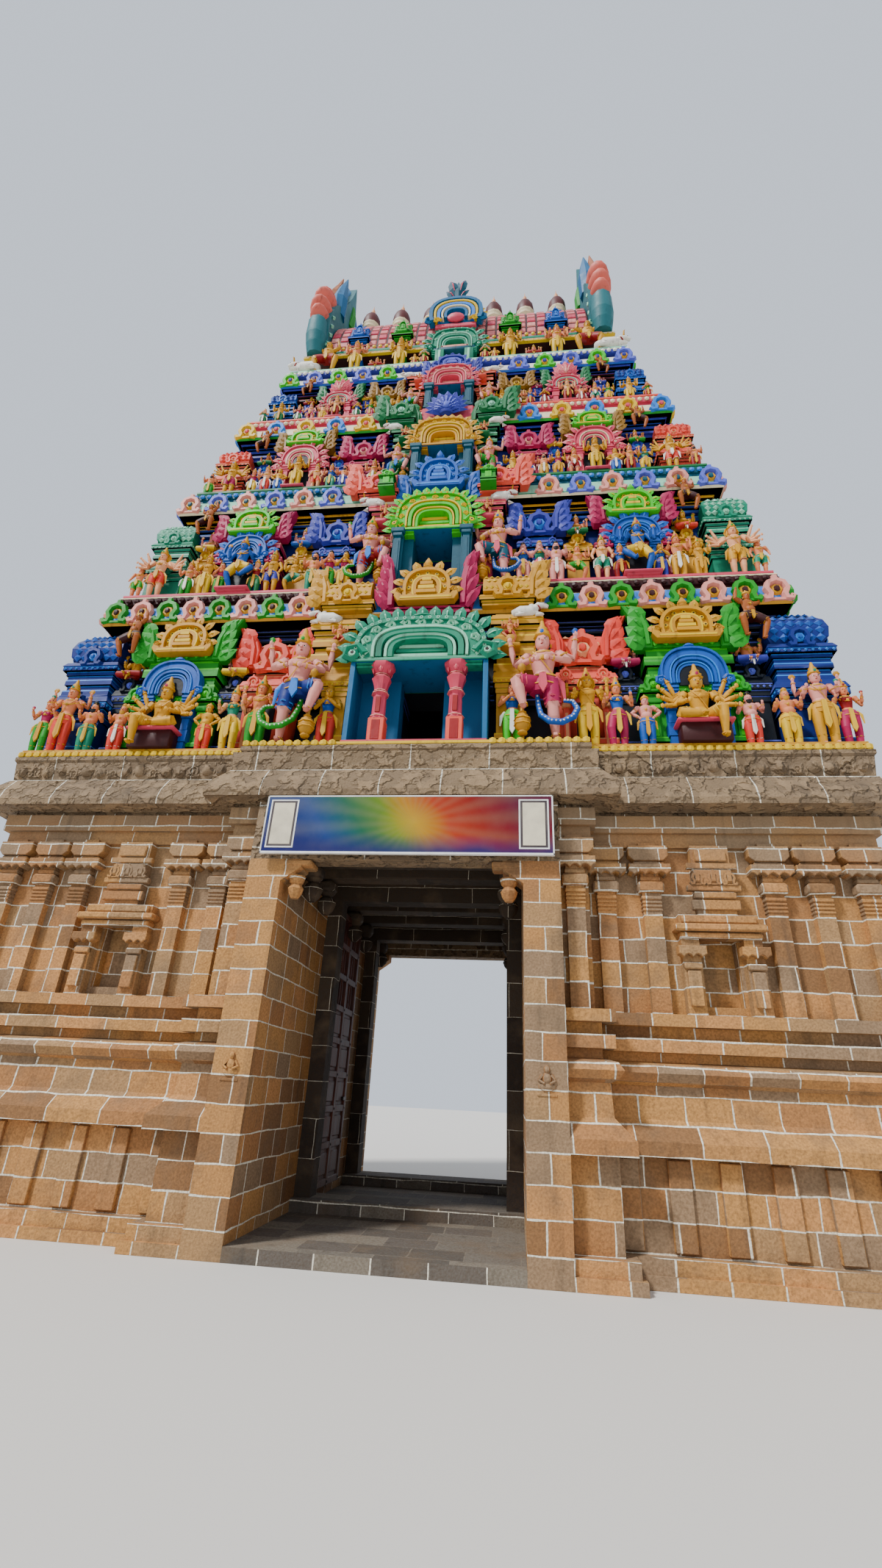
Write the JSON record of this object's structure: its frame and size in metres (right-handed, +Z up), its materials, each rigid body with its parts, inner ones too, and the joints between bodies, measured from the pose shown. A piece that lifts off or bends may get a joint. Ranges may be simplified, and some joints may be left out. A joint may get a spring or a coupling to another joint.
{
  "type": "gopuram, South Indian temple gateway tower",
  "caption": "Temple gateway tower with a stone base, a gate passage with two wooden leaves, painted storeys with stucco figures and a barrel roof with finials.",
  "frame": {"origin": "middle of the footprint at ground level", "axes": "+Z up, the front with the gate looks along -Y, +X to the right seen from the front"},
  "size_m": [13.3, 7.265, 25.4],
  "materials": {
    "base_stone": "dressed granite blocks, rough",
    "dark_stone": "weathered granite, rough",
    "gate_wood": "old dark oiled timber",
    "stucco": "lime stucco with gloss enamel paint in many colours",
    "board": "printed sheet on a frame, satin",
    "finial": "dark red glazed"
  },
  "bodies": {
    "tower": {"right_base_mouldings": "base_stone", "left_base_mouldings": "base_stone", "right_base_wall": "base_stone", "left_base_wall": "base_stone", "front_right_pier": "base_stone", "rear_left_pier": "base_stone", "front_left_pier": "base_stone", "rear_right_pier": "base_stone", "front_lintel": "dark_stone", "rear_lintel": "dark_stone", "passage_ceiling": "dark_stone", "passage_floor": "dark_stone", "front_door_frame": "dark_stone", "rear_door_frame": "dark_stone", "base_cornice": "dark_stone", "frieze": "dark_stone", "bead_ledge": "stucco", "name_board": "board", "storey1_right_wall": "stucco", "storey1_left_wall": "stucco", "storey1_front_portal": "stucco", "storey1_rear_portal": "stucco", "storey1_front_figures": "stucco", "storey1_rear_figures": "stucco", "storey1_cornice": "stucco", "storey2_right_wall": "stucco", "storey2_left_wall": "stucco", "storey2_front_portal": "stucco", "storey2_rear_portal": "stucco", "storey2_front_figures": "stucco", "storey2_rear_figures": "stucco", "storey2_cornice": "stucco", "storey3_right_wall": "stucco", "storey3_left_wall": "stucco", "storey3_front_portal": "stucco", "storey3_rear_portal": "stucco", "storey3_front_figures": "stucco", "storey3_rear_figures": "stucco", "storey3_cornice": "stucco", "storey4_right_wall": "stucco", "storey4_left_wall": "stucco", "storey4_front_portal": "stucco", "storey4_rear_portal": "stucco", "storey4_front_figures": "stucco", "storey4_rear_figures": "stucco", "storey4_cornice": "stucco", "neck_wall": "stucco", "neck_front_figures": "stucco", "neck_rear_figures": "stucco", "roof_edge": "stucco", "roof_shell": "stucco", "right_gable": "stucco", "left_gable": "stucco", "front_roof_crest": "stucco", "rear_roof_crest": "stucco", "kalashas": "finial"},
    "left_door": {"left_door": "gate_wood"},
    "right_door": {"right_door": "gate_wood"}
  },
  "joints": [
    {"name": "left_door_pivot", "type": "hinge", "parent": "tower", "child": "left_door", "pos_m": [-1.49, -0.74, 0.3], "axis": [0, 0, -1], "range_deg": [0, 90]},
    {"name": "right_door_pivot", "type": "hinge", "parent": "tower", "child": "right_door", "pos_m": [1.49, -0.74, 0.3], "axis": [0, 0, 1], "range_deg": [0, 90]}
  ]
}
